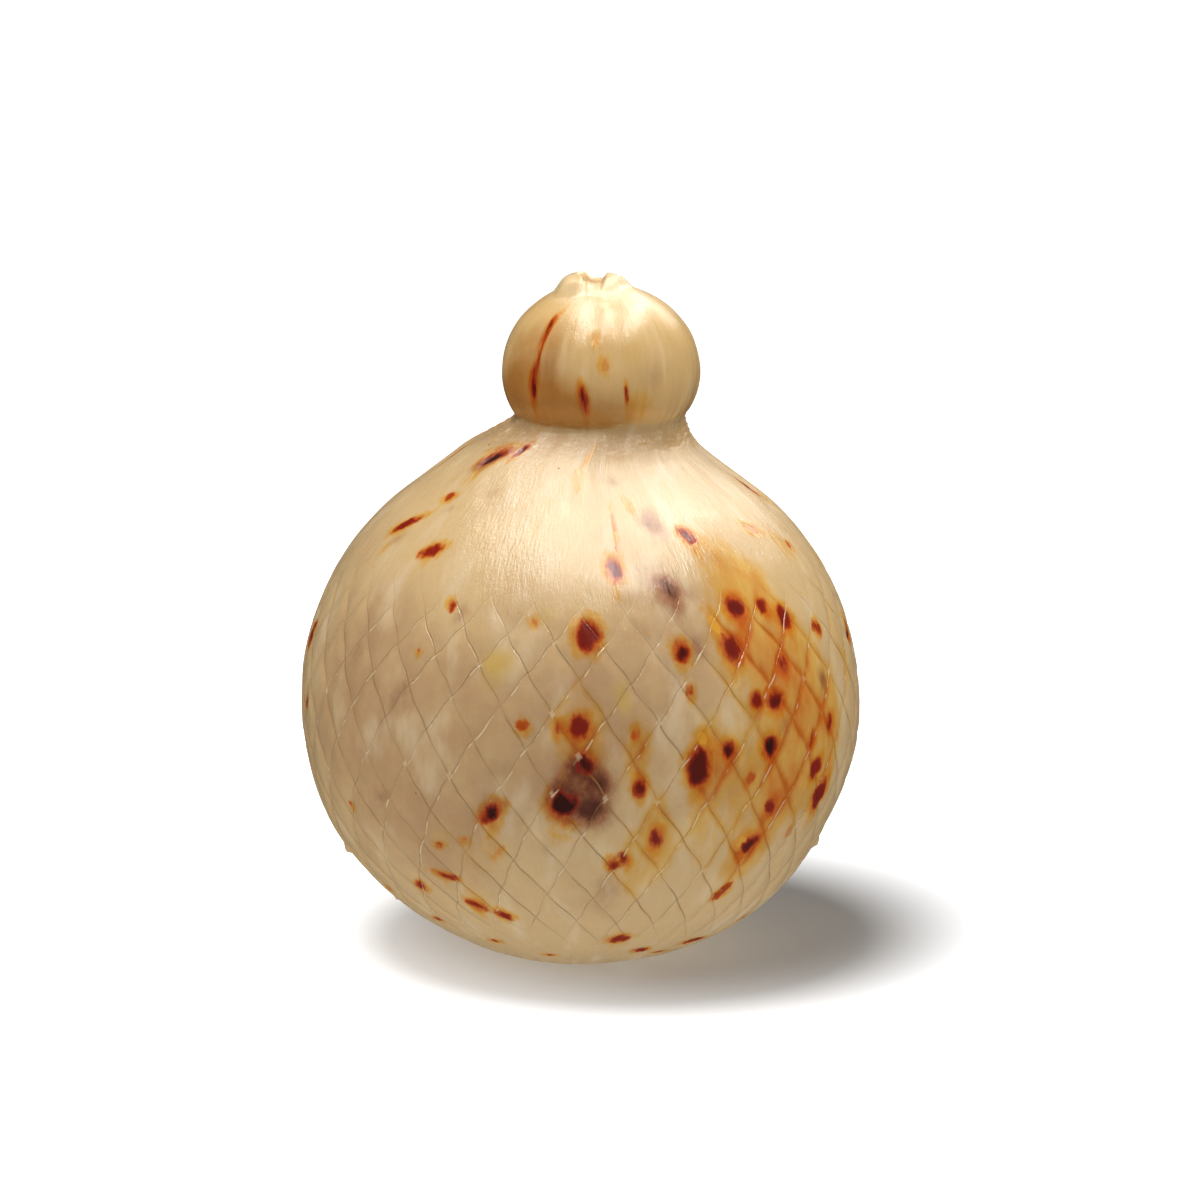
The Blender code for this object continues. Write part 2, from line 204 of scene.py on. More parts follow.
# The mesh
SEGMENTS = 340
RING_ZONES = (  # run at the zone's end and rings in the zone, from the middle of the foot up
    (0.0, 12), (30 * MM, 24), (128 * MM, 94), (166 * MM, 34), (182 * MM, 24), (213 * MM, 32), (None, 30),
)

# The photograph's view
CAMERA_TARGET = Vector((0.005, 0, 0.089))
CAMERA_DISTANCE = 1.2
CAMERA_ELEVATION = 12.5
CAMERA_LENS = 143.5

# The lights: name, place, turn about X and Y in degrees, size, power and whether reflections leave it out
FLOOR_LIGHT = ("floor_light", (-0.22, -0.12, 1.0), (7, -12), (0.55, 0.55), 20, True)
CHEESE_LIGHTS = (
    ("left", (-0.19, 0.0, 1.0), (0, -11), (0.13, 1.2), 6.3, False),
    ("right", (0.34, 0.05, 1.0), (0, 19), (0.13, 1.2), 6.3, False),
    ("back", (0.5, 0.8, 0.8), (-42, 24), (0.9, 0.4), 4.5, False),
    ("low", (0.06, -0.12, -0.30), (180, 0), (1.6, 1.6), 6.9, True),
    ("front", (0.1, -1.1, 0.35), (75, 0), (1.0, 1.0), 3.0, True),
    ("front_left", (-1.05, -0.3, 0.3), (16, -78), (0.8, 0.8), 4.9, True),
    ("front_right", (1.05, -0.3, 0.45), (15, 71), (0.8, 0.8), 3.8, True),
)
WORLD_STRENGTH = 0.05
# The floor's painted glow: least round this middle, full beyond the outer radius, so it partly paints the
# shadow
SHADOW_MIDDLE = (0.025, 0.02, 0.0)
SHADOW_RADII = (0.04, 0.12)
SHADOW_GLOW = 0.14
FLOOR_GREY = 0.45


def smooth(low, high, value):
    """0 at low, 1 at high, with a soft step between, whichever of the two is larger."""
    t = np.clip((value - low) / (high - low), 0, 1)
    return t * t * (3 - 2 * t)


def bell(value, middle, half_width):
    """1 at the middle, fading to both sides."""
    return np.exp(-(((value - middle) / half_width) ** 2))


def turned(bearing, middle):
    """The bearing from a middle one, between -180 and 180."""
    return (bearing - middle + 180) % 360 - 180


def wander(points, scale):
    """Smooth noise at each point, about -0.7 to 0.7."""
    return np.array([noise.noise(Vector(point) * scale) for point in points])


def build_meridian():
    """The outline's run, radius, height and outward direction, from the middle of the foot to the apex."""
    lower = WAIST_HEIGHT / math.sqrt(1 - (FOOT_RADIUS / BELLY_RADIUS) ** 2)
    angle = np.linspace(-math.asin(WAIST_HEIGHT / lower), 0, 241)
    belly = np.c_[BELLY_RADIUS * np.cos(angle), WAIST_HEIGHT + lower * np.sin(angle)]
    angle = np.linspace(0, math.asin((SHOULDER_END - WAIST_HEIGHT) / SHOULDER_RISE), 241)
    shoulder = np.c_[BELLY_RADIUS * np.cos(angle), WAIST_HEIGHT + SHOULDER_RISE * np.sin(angle)]
    t = np.linspace(0, 1, 241)[:, None]
    handles = (shoulder[-1], np.array(SWEEP_OUT), np.array(SWEEP_IN), np.array((NECK_RADIUS, NECK_HEIGHT)))
    weights = ((1 - t) ** 3, 3 * t * (1 - t) ** 2, 3 * t * t * (1 - t), t**3)
    sweep = sum(weight * handle for weight, handle in zip(weights, handles))
    angle = np.linspace(-math.acos(NECK_RADIUS / HEAD_RADIUS), 0, 121)
    underside = np.c_[HEAD_RADIUS * np.cos(angle), HEAD_HEIGHT + HEAD_UNDERSIDE * np.sin(angle)]
    angle = np.linspace(0, math.pi / 2, 241)
    dome = np.c_[HEAD_RADIUS * np.cos(angle), HEAD_HEIGHT + HEAD_DOME * np.sin(angle)]
    skin = np.vstack([belly, shoulder[1:], sweep[1:], underside[1:], dome[1:]])
    run = np.r_[0, np.cumsum(np.hypot(*np.diff(skin, axis=0).T))]
    neck_run = run[len(belly) + len(shoulder) + len(sweep) - 3]
    even = np.linspace(0, run[-1], 3000)
    skin = np.c_[np.interp(even, run, skin[:, 0]), np.interp(even, run, skin[:, 1])]
    slope = np.gradient(skin, even, axis=0)
    outward = np.c_[slope[:, 1], -slope[:, 0]]
    foot = np.array([[-FOOT_RADIUS, 0.0, 0.0, 0.0, -1.0], [-0.01 * MM, FOOT_RADIUS, 0.0, 0.0, -1.0]])
    return np.vstack([foot, np.c_[even, skin, outward]]), neck_run


MERIDIAN, NECK_RUN = build_meridian()
TOP_RUN = MERIDIAN[-1, 0]


def on_meridian(run):
    """Radius, height and outward direction at each run."""
    return [np.interp(run, MERIDIAN[:, 0], MERIDIAN[:, k]) for k in (1, 2, 3, 4)]


def ring_runs():
    runs = [-FOOT_RADIUS]
    for end, count in RING_ZONES:
        end = TOP_RUN if end is None else end
        runs += list(np.linspace(runs[-1], end, count + 1)[1:])
    return np.array(runs)


def net_rows():
    """Run of each row of knots, from the top down."""
    rows = [NET_TOP_ROW]
    for _ in range(NET_ROWS + 2):
        close = smooth(*PITCH_RUNS, rows[-1])
        rows.append(rows[-1] - NET_PITCHES[0] * (1 - close) - NET_PITCHES[1] * close)
    return np.array(rows)


def net_place(bearing, run):
    """Where the skin lies in the net: whole numbers of the first are on a falling thread, of the second on
    a rising one."""
    rows = net_rows()
    level = run + NET_TILT * np.sin(np.radians(bearing))
    row = np.interp(level, rows[::-1], np.arange(len(rows))[::-1])
    above = np.maximum(level - NET_TOP_ROW, 0) / NET_PITCHES[1]
    below = np.maximum(TWIST_BELOW - np.maximum(run, TWIST_BELOW / 3), 0)
    cell = (bearing - NET_TWIST * below) * NET_CELLS / 360
    row = row - above
    return cell - row / 2, cell + row / 2


def net_presence(run):
    """How clearly the net shows: not above the shoulder, nor near the foot."""
    return smooth(132 * MM, 112 * MM, run) * smooth(18 * MM, 44 * MM, run)


def thread_distance(place, other):
    """Distance from the nearest thread, in cells. Threads wave a little as they pass their knots."""
    waved = place + THREAD_WAVE * np.sin(2 * np.pi * other)
    return np.abs(waved - np.round(waved))


def net_relief(bearing, run):
    falling, rising = net_place(bearing, run)
    near = np.minimum(thread_distance(falling, rising), thread_distance(rising, -falling))
    pressed = 1 - smooth(0, PILLOW_EDGE, near)
    return -PILLOW_DEPTH * pressed * net_presence(run)


def settle_relief(bearing, run, height):
    """The belly's slow wandering and the places where it has settled outwards, as in the part's source."""
    angle = np.radians(bearing)
    push = BELLY_SWAY * 1.5 * wander(np.c_[1.1 * np.cos(angle), 1.1 * np.sin(angle), run * 16], 1)
    for towards, middle, spread, size in BULGES:
        facing = np.maximum(0, np.cos(np.radians(bearing - towards)))
        push += size * facing**2 * bell(height, middle, spread)
    return push * smooth(0, 10 * MM, run)


def pleat_relief(bearing, run):
    """Broad pleats at the neck, as in the part's source, and fine ones between them."""
    angle = np.radians(bearing)
    circle = np.c_[np.cos(angle), np.sin(angle)]
    broad = wander(np.c_[PLEATS_ROUND * circle, run * 12], 1) * bell(run, NECK_RUN, 16 * MM)
    fine = wander(np.c_[13 * circle, run * 22], 1) * bell(run, NECK_RUN + 2 * MM, 22 * MM)
    return PLEAT_DEPTH * 1.6 * broad + FINE_PLEATS * 1.6 * fine


def crease_relief(bearing, run):
    push = np.zeros_like(run)
    for middle, low, high, depth, half_width in HEAD_CREASES + SHOULDER_CREASES:
        along = smooth(low, low + 6 * MM, run) * smooth(high, high - 8 * MM, run)
        bend = 1.5 * np.sin(run * 260 + middle)
        push -= depth * along * bell(turned(bearing, middle + bend), 0, half_width)
    return push


def tie_relief(bearing, run):
    """The cord's mark round the neck: a shallow band with fine uneven ridges in it."""
    band = smooth(NECK_RUN - 10 * MM, NECK_RUN - 6 * MM, run)
    band = band * smooth(NECK_RUN + 0.5 * MM, NECK_RUN - 1 * MM, run)
    angle = np.radians(bearing)
    sag = 1.4 * wander(np.c_[3 * np.cos(angle), 3 * np.sin(angle), run * 40], 1)
    ridges = np.sin(run * 2 * np.pi / (1.9 * MM) + 8 * sag)
    return band * (0.1 * MM * ridges - TIE_MARK_DEPTH * 0.5)


def patch_distance(bearing, run, radius, patch):
    """How far each point is from a slanted oval patch: 0 at its middle, 1 on its edge."""
    middle, patch_run, length, width, slant = patch[:5]
    across = np.radians(turned(bearing, middle)) * radius / MM
    up = run / MM - patch_run
    angle = math.radians(slant)
    along = up * math.cos(angle) + across * math.sin(angle)
    aside = across * math.cos(angle) - up * math.sin(angle)
    return np.hypot(along * 2 / length, aside * 2 / width)


def flake_relief(bearing, run, radius):
    """Each dark flake lies in a small dent of the skin, and the large slit by the neck is deep."""
    push = np.zeros_like(run)
    for flake in FLAKES:
        away = patch_distance(bearing, run, radius, flake)
        depth = 0.35 if flake[5] == 1.0 and flake[1] > 160 else 0.1
        push -= depth * MM * smooth(1.1, 0.4, away) * smooth(0.1, 0.6, flake[5])
        push += 0.16 * MM * bell(away, 1.3, 0.3) * smooth(0.3, 0.0, flake[5])
    return push


def crumb_relief(bearing, run, radius):
    push = np.zeros_like(run)
    for middle, crumb_run, width, rise in CRUMBS:
        away = patch_distance(bearing, run, radius, (middle, crumb_run, width, width, 0))
        push += rise * MM * smooth(1.2, 0.2, away)
    return push


def mouth_relief(across, back):
    """The two lips, the slit between them and the pit, with small uneven edges."""
    out = np.hypot(across, back)
    turn = np.arctan2(across, back)
    edge = MOUTH_RADIUS * (1 + 0.05 * np.sin(5 * turn) + 0.03 * np.sin(11 * turn))
    disc = smooth(1.12 * edge, 0.76 * edge, out)
    rise = np.where(across < 0, LIP_RISES[0], LIP_RISES[1])
    rise = rise * (1 - 0.22 * smooth(0.62 * MOUTH_RADIUS, 0.98 * MOUTH_RADIUS, out))
    slit = smooth(0.7 * SLIT_HALF_WIDTH, 1.4 * SLIT_HALF_WIDTH, np.abs(across - SLIT_SHIFT - 0.06 * back))
    ridge = 0.9 * MM * bell(across, -1.1 * MM, 0.9 * MM) * smooth(2 * MM, 5 * MM, np.abs(back))
    pit = smooth(1.25 * PIT_RADIUS, 0.35 * PIT_RADIUS, out)
    return disc * (SLIT_RISE + (rise - SLIT_RISE) * slit + ridge * (1 - slit)) - (PIT_DEPTH + rise) * pit


def shape_skin(bearing, run):
    """Every point of the finished skin."""
    radius, height, radial, vertical = on_meridian(run)
    place = np.c_[radius * np.sin(np.radians(bearing)), -radius * np.cos(np.radians(bearing)), height]
    free = smooth(-2 * MM, 8 * MM, run)
    push = settle_relief(bearing, run, height) + pleat_relief(bearing, run) + crease_relief(bearing, run)
    push += net_relief(bearing, run) + tie_relief(bearing, run)
    push += flake_relief(bearing, run, radius) + crumb_relief(bearing, run, radius)
    dimples = wander(place, 70) + 0.6 * wander(place, 160)
    push += DIMPLES * dimples * smooth(TOP_RUN, TOP_RUN - 20 * MM, run)
    push *= free
    angle = np.radians(bearing)
    radius = radius + push * radial
    height = height + push * vertical
    lean = HEAD_LEAN * smooth(*LEAN_HEIGHTS, height)
    across, back = radius * np.sin(angle), -radius * np.cos(angle)
    mouth = smooth(TOP_RUN - 14 * MM, TOP_RUN - 12 * MM, run)
    height = height + mouth * mouth_relief(across - MOUTH_SHIFT, back)
    return np.c_[across + lean, back, np.maximum(height, 0)]


def back_flakes():
    """Flakes for the side away from the camera, fewer than on the front and of like sizes."""
    dice = random.Random(BACK_SEED)
    flakes = []
    while len(flakes) < BACK_FLAKES:
        bearing = dice.uniform(*BACK_BEARINGS)
        run = dice.choice((dice.uniform(16, 165), dice.uniform(60, 140), dice.uniform(40, 150)))
        if len(flakes) % HEAD_FLAKE_EVERY == 0:
            run = dice.uniform(184, 205)
        length = dice.choice((2.4, 3.5, 4.5, 6.0, 7.5))
        width = length * dice.uniform(0.45, 0.9)
        if run > 140:
            length, width = length * 1.4, width * 0.5
        slant = dice.uniform(-35, 35) * (0.3 if run > 140 else 1)
        tone = dice.choice((0.1, 0.35, 0.6, 0.75, 0.85, 1.0))
        flakes.append((bearing, run, length, width, slant, tone))
    return tuple(flakes)


def back_patches(count, sizes, strengths, seed):
    """Soft patches for the side away from the camera."""
    dice = random.Random(seed)
    patches = []
    for _ in range(count):
        length = dice.uniform(*sizes)
        place = dice.uniform(*BACK_BEARINGS), dice.uniform(30, 160)
        width = length * dice.uniform(0.5, 0.9)
        slant = dice.uniform(-40, 40)
        patches.append((*place, length, width, slant, dice.uniform(*strengths)))
    return tuple(patches)


FLAKES = FLAKES + back_flakes()
SUNKEN = SUNKEN + back_patches(22, (6, 12), (0.25, 0.7), seed=11)
ROSY_AND_SHADE = ROSY_AND_SHADE + back_patches(7, (36, 70), (0.3, 0.6), seed=14)
OIL = OIL + back_patches(10, (14, 34), (0.25, 0.6), seed=12)
STRAW = STRAW + back_patches(8, (12, 26), (0.25, 0.6), seed=13)


def spread(bearing, run, radius, patches):
    """How strongly the soft patches show at each point, together."""
    clear = np.ones_like(run)
    for patch in patches:
        clear *= 1 - patch[5] * np.exp(-patch_distance(bearing, run, radius, patch) ** 2)
    return 1 - clear


def flake_masks(bearing, run, radius):
    """Distance in mm outside the nearest flake's edge, its tone, and the oil drawn out round them all."""
    nearest = np.full_like(run, 8.0)
    tone = np.zeros_like(run)
    clear = np.ones_like(run)
    for flake in FLAKES:
        size = math.sqrt(flake[2] * flake[3]) / 2
        outside = (patch_distance(bearing, run, radius, flake) - 1) * size
        closer = outside < nearest
        nearest = np.where(closer, outside, nearest)
        tone = np.where(closer, flake[5], tone)
        reach = 0.6 + 0.45 * size
        clear *= 1 - (0.35 + 0.5 * flake[5]) * np.exp(-((np.maximum(outside, 0) / reach) ** 2))
        drip = flake[0], flake[1] - 0.7 * flake[2], 1.6 * flake[2], 0.9 * flake[3], 0.5 * flake[4]
        clear *= 1 - 0.5 * flake[5] * np.exp(-patch_distance(bearing, run, radius, drip) ** 2)
    return nearest, tone, 1 - clear


def point_attribute(mesh, name, values):
    attribute = mesh.attributes.new(name, "FLOAT", "POINT")
    attribute.data.foreach_set("value", np.asarray(values, dtype=np.float32))


def lay_net_map(mesh, bearing, run):
    """The piece's own UV map, which holds the place in the net. It breaks at the back, by whole cells."""
    loops = np.empty(len(mesh.loops), dtype=np.int64)
    mesh.loops.foreach_get("vertex_index", loops)
    starts = np.array([polygon.loop_start for polygon in mesh.polygons])
    corner = bearing[loops]
    widest = np.maximum.reduceat(corner, starts) - np.minimum.reduceat(corner, starts)
    counts = np.diff(np.r_[starts, len(loops)])
    wraps = np.repeat(widest > 180, counts)
    corner = np.where(wraps & (corner < 0), corner + 360, corner)
    falling, rising = net_place(corner, run[loops])
    while mesh.uv_layers:
        mesh.uv_layers.remove(mesh.uv_layers[0])
    layer = mesh.uv_layers.new(name="net")
    layer.data.foreach_set("uv", np.c_[falling, rising].astype(np.float32).ravel())


def low_head_shade(bearing, run):
    """Painted shade on the head: darker low down, less so at the right, and beside the crease on its left.
    """
    shade = smooth(NECK_RUN + 21 * MM, NECK_RUN + 1 * MM, run)
    shade = shade * (1 - 0.9 * bell(turned(bearing, 55), 0, 45))
    left = bell(turned(bearing, -46), 0, 26) * smooth(TOP_RUN - 14 * MM, TOP_RUN - 28 * MM, run)
    return np.minimum(shade + 0.6 * left, 1) * smooth(NECK_RUN - 1 * MM, NECK_RUN + 2 * MM, run)


def lay_masks(mesh, bearing, run):
    """The attributes that the material reads."""
    radius = np.maximum(on_meridian(run)[0], 1 * MM)
    nearest, tone, halo = flake_masks(bearing, run, radius)
    masks = {
        "flake": nearest,
        "tone": tone,
        "halo": halo,
        "sunken": spread(bearing, run, radius, SUNKEN),
        "rosy_and_shade": spread(bearing, run, radius, ROSY_AND_SHADE),
        "oil": spread(bearing, run, radius, OIL),
        "straw": spread(bearing, run, radius, STRAW),
        "netted": net_presence(run),
        "neck": bell(run, NECK_RUN - 4 * MM, 5 * MM),
        "low_head": low_head_shade(bearing, run),
        "head": smooth(NECK_RUN - 1 * MM, NECK_RUN + 2 * MM, run),
        "lips": smooth(TOP_RUN - 15 * MM, TOP_RUN - 10 * MM, run),
    }
    for name, values in masks.items():
        point_attribute(mesh, name, values)
    angle = np.radians(bearing)
    unrolled = np.c_[BELLY_RADIUS * np.sin(angle), -BELLY_RADIUS * np.cos(angle), run]
    attribute = mesh.attributes.new("unrolled", "FLOAT_VECTOR", "POINT")
    attribute.data.foreach_set("vector", unrolled.astype(np.float32).ravel())


def make_skin():
    """A sphere of fine rings, shaped into the cheese and kept inside the part's box."""
    runs = ring_runs()
    bpy.ops.mesh.primitive_uv_sphere_add(segments=SEGMENTS, ring_count=len(runs) - 1, radius=1)
    piece = bpy.context.object
    piece.name = piece.data.name = "cheese_skin"
    mesh = piece.data
    places = np.empty(len(mesh.vertices) * 3)
    mesh.vertices.foreach_get("co", places)
    places = places.reshape(-1, 3)
    bearing = np.degrees(np.arctan2(places[:, 0], -places[:, 1]))
    ring = (np.arcsin(np.clip(places[:, 2], -1, 1)) / math.pi + 0.5) * (len(runs) - 1)
    run = runs[np.rint(ring).astype(int)]
    finished = np.clip(shape_skin(bearing, run), CAD_BOX[0], CAD_BOX[1])
    mesh.vertices.foreach_set("co", finished.ravel())
    lay_masks(mesh, bearing, run)
    lay_net_map(mesh, bearing, run)
    bpy.ops.object.shade_smooth()
    return piece


class Nodes:
    """Short ways to add nodes to one material."""

    def __init__(self, name):
        self.material = bpy.data.materials.new(name)
        self.material.use_nodes = True
        self.tree = self.material.node_tree
        self.shader = self.tree.nodes["Principled BSDF"]

    def put(self, value, socket):
        if isinstance(value, bpy.types.NodeSocket):
            self.tree.links.new(value, socket)
        else:
            socket.default_value = value

    def add(self, kind, **settings):
        node = self.tree.nodes.new(kind)
        for name, value in settings.items():
            setattr(node, name, value)
        return node

    def sum(self, operation, *values):
        node = self.add("ShaderNodeMath", operation=operation)
        for value, socket in zip(values, node.inputs):
            self.put(value, socket)
        return node.outputs[0]

    def step(self, value, low, high, out_low=0.0, out_high=1.0):
        node = self.add("ShaderNodeMapRange", interpolation_type="SMOOTHSTEP")
        for given, socket in zip((value, low, high, out_low, out_high), node.inputs):
            self.put(given, socket)
        return node.outputs[0]

    def mix(self, amount, base, top, blend="MIX"):
        node = self.add("ShaderNodeMix", data_type="RGBA", blend_type=blend)
        self.put(amount, node.inputs[0])
        self.put(base, node.inputs[6])
        self.put(top, node.inputs[7])
        return node.outputs[2]

    def mask(self, name):
        return self.add("ShaderNodeAttribute", attribute_name=name).outputs["Fac"]

    def stretch(self, vector, scale):
        node = self.add("ShaderNodeVectorMath", operation="MULTIPLY")
        self.put(vector, node.inputs[0])
        node.inputs[1].default_value = scale
        return node.outputs[0]

    def cloud(self, vector, size, detail=2.0, roughness=0.5):
        """Noise between 0 and 1 with features of the given size in metres."""
        node = self.add("ShaderNodeTexNoise")
        self.put(vector, node.inputs["Vector"])
        node.inputs["Scale"].default_value = 1 / size
        node.inputs["Detail"].default_value = detail
        node.inputs["Roughness"].default_value = roughness
        return node.outputs[0]

    def swing(self, cloud, reach):
        """A cloud turned into a value that swings about 0."""
        return self.sum("MULTIPLY", self.sum("SUBTRACT", cloud, 0.5), 2 * reach)


IVORY = (0.67, 0.462, 0.225, 1)
PALE = (0.76, 0.59, 0.37, 1)
STRAW_YELLOW = (0.61, 0.395, 0.095, 1)
GOLD = (0.72, 0.34, 0.03, 1)
# The rosy clouds' colour, which also paints shade on the belly and the head
SHADED_ROSE_GREY = (0.49, 0.292, 0.145, 1)
AMBER_TINT = (1.0, 0.80, 0.33, 1)
ORANGE_TINT = (0.88, 0.36, 0.07, 1)
AMBER = (0.78, 0.36, 0.045, 1)
RUST = (0.56, 0.10, 0.004, 1)
RED = (0.26, 0.010, 0.001, 1)
BLACK = (0.035, 0.004, 0.002, 1)
PLUM = (0.25, 0.072, 0.032, 1)
DEEP_PLUM = (0.07, 0.008, 0.003, 1)
HEAD_TAN = (1.0, 0.945, 0.79, 1)
# Painted shade for the lower head and for the neck under it
HEAD_SHADE = (0.67, 0.44, 0.20, 1)
LIP_CREAM = (0.80, 0.62, 0.36, 1)
# The threads' lines: the string's brown mark, and painted shade in the groove
THREAD_MARK_AND_SHADE = (0.42, 0.24, 0.10, 1)
THREAD_ORANGE = (0.50, 0.17, 0.012, 1)
# Painted glints beside the rising threads and at knots, and the tie band's pale marks with painted highlight
GLINT_AND_MARK_CREAM = (0.86, 0.68, 0.40, 1)
ROUGHNESS = (0.17, 0.26)


def rind_colour(g, place, unrolled):
    """Ivory with slow rose-grey clouds that also paint shade on the belly and head, paler drawn-out streaks,
    yellow pools, painted shade on the low head and the neck, and the tie band's pale marks with painted
    highlight.
    """
    # Rose-grey clouds: a rosy tone, and painted shade on the belly's middle and left and on the head's sides
    rosy_and_shade = g.sum("ADD", g.mask("rosy_and_shade"), g.swing(g.cloud(place, 16 * MM, 4, 0.6), 0.55))
    colour = g.mix(g.step(rosy_and_shade, 0.0, 0.8, 0, 0.95), IVORY, SHADED_ROSE_GREY)
    streaks = g.cloud(g.stretch(unrolled, (1, 1, 0.5)), 10 * MM, 4)
    colour = g.mix(g.step(streaks, 0.48, 0.75, 0, 0.7), colour, PALE)
    straw = g.sum("ADD", g.mask("straw"), g.swing(g.cloud(place, 7 * MM, 4, 0.6), 0.4))
    colour = g.mix(g.step(straw, 0.2, 0.8), colour, STRAW_YELLOW)
    colour = g.mix(g.mask("head"), colour, HEAD_TAN, "MULTIPLY")
    # Painted shade low on the head, less at its right, and beside its left crease
    low = g.sum("ADD", g.mask("low_head"), g.swing(g.cloud(place, 9 * MM, 3), 0.3))
    colour = g.mix(g.step(low, 0.1, 0.9), colour, HEAD_SHADE, "MULTIPLY")
    colour = g.mix(g.sum("MULTIPLY", g.mask("lips"), 0.6), colour, LIP_CREAM)
    # Painted shade at the neck, under the head
    colour = g.mix(g.sum("MULTIPLY", g.mask("neck"), 0.35), colour, HEAD_SHADE, "MULTIPLY")
    # Pale streaks along the tie band: the cord's marks, with painted highlight on their ridges
    band = g.cloud(g.stretch(unrolled, (0.12, 0.12, 1)), 0.9 * MM, 4, 0.6)
    band = g.sum("MULTIPLY", g.step(band, 0.50, 0.68), g.mask("neck"))
    return g.mix(g.sum("MULTIPLY", band, 0.45), colour, GLINT_AND_MARK_CREAM)


def thread_sides(g, unrolled):
    """Distance to either side of the nearest falling and rising thread, in cells."""
    net = g.add("ShaderNodeUVMap", uv_map="net").outputs[0]
    split = g.add("ShaderNodeSeparateXYZ")
    g.put(net, split.inputs[0])
    jitter = g.swing(g.cloud(unrolled, 6 * MM, 3), 0.04)
    sides = []
    for own, other, sign in ((0, 1, 1), (1, 0, -1)):
        wave = g.sum("SINE", g.sum("MULTIPLY", split.outputs[other], 2 * math.pi * sign))
        place = g.sum("ADD", split.outputs[own], g.sum("MULTIPLY", wave, THREAD_WAVE))
        place = g.sum("ADD", g.sum("ADD", place, jitter), 0.5)
        sides.append(g.sum("SUBTRACT", g.sum("FRACT", place), 0.5))
    return sides


def specks(g, unrolled, spacing, size, share):
    """Small dots in a share of the cells of a random pattern."""
    cells = g.add("ShaderNodeTexVoronoi")
    g.put(unrolled, cells.inputs["Vector"])
    cells.inputs["Scale"].default_value = 1 / spacing
    dot = g.step(cells.outputs["Distance"], size / spacing, 0.4 * size / spacing)
    kept = g.step(cells.outputs["Color"], 1 - share, 1.02 - share)
    return g.sum("MULTIPLY", dot, kept)


def stain(g, colour, amount):
    """Oil soaked into the skin: amber where there is little, deep orange where there is much."""
    colour = g.mix(g.step(amount, 0.03, 0.55), colour, AMBER_TINT, "MULTIPLY")
    return g.mix(g.step(amount, 0.44, 1.12), colour, ORANGE_TINT, "MULTIPLY")


def pool_colours(g, colour, place, fine, groove):
    """Oil that gathers in the net's grooves, and flakes that show dimly through the skin."""
    streaky = g.cloud(g.stretch(fine, (1, 1, 0.6)), 7 * MM, 5, 0.6)
    oil = g.sum("ADD", g.mask("oil"), g.swing(streaky, 0.75))
    oil = g.sum("ADD", oil, g.sum("MULTIPLY", groove, 0.3))
    oil = g.sum("ADD", oil, g.sum("MULTIPLY", g.mask("halo"), 0.2))
    oil = g.sum("MULTIPLY", oil, g.step(g.mask("oil"), 0.05, 0.45))
    colour = stain(g, colour, g.sum("MULTIPLY", oil, 0.9))
    ragged = g.swing(g.cloud(fine, 3.2 * MM, 5, 0.65), 0.4)
    sunken = g.sum("ADD", g.mask("sunken"), g.sum("MULTIPLY", ragged, g.step(g.mask("sunken"), 0.02, 0.3)))
    rim = g.sum("MULTIPLY", g.step(sunken, 0.25, 0.5), g.step(g.mask("sunken"), 0.3, 0.6, 0, 0.35))
    colour = g.mix(rim, colour, RUST)
    colour = g.mix(g.step(sunken, 0.06, 0.85, 0, 0.85), colour, PLUM)
    return g.mix(g.step(sunken, 0.55, 1.0, 0, 0.9), colour, DEEP_PLUM)


def flake_colours(g, colour, fine, edge):
    """Flakes with a dark middle, a rusty edge and an amber ring that drips downwards."""
    tone = g.mask("tone")
    clear = g.step(g.mask("sunken"), 0.75, 0.35)
    halo = g.sum("ADD", g.mask("halo"), g.swing(g.cloud(fine, 3 * MM, 4, 0.6), 0.9))
    halo = g.sum("MULTIPLY", halo, g.step(g.mask("halo"), 0.0, 0.3, 0.4, 0.9))
    colour = stain(g, colour, g.sum("MULTIPLY", halo, clear))
    rust = g.step(edge, g.step(tone, 0.1, 0.6, 0.35, 1.15), -0.2)
    rust = g.sum("MULTIPLY", rust, g.step(tone, 0.0, 0.35, 0.2, 1.0))
    colour = g.mix(g.sum("MULTIPLY", rust, g.sum("MAXIMUM", clear, 0.12)), colour, RUST)
    gold = g.sum("MULTIPLY", g.step(edge, 0.1, -0.7), g.step(tone, 0.14, 0.04))
    colour = g.mix(gold, colour, GOLD)
    red = g.sum("MULTIPLY", g.step(edge, 0.6, -0.8), g.step(tone, 0.2, 0.55))
    colour = g.mix(red, colour, RED)
    black = g.sum("MULTIPLY", g.step(edge, -0.3, -1.5), g.step(tone, 0.6, 1.0))
    return g.mix(black, colour, BLACK)


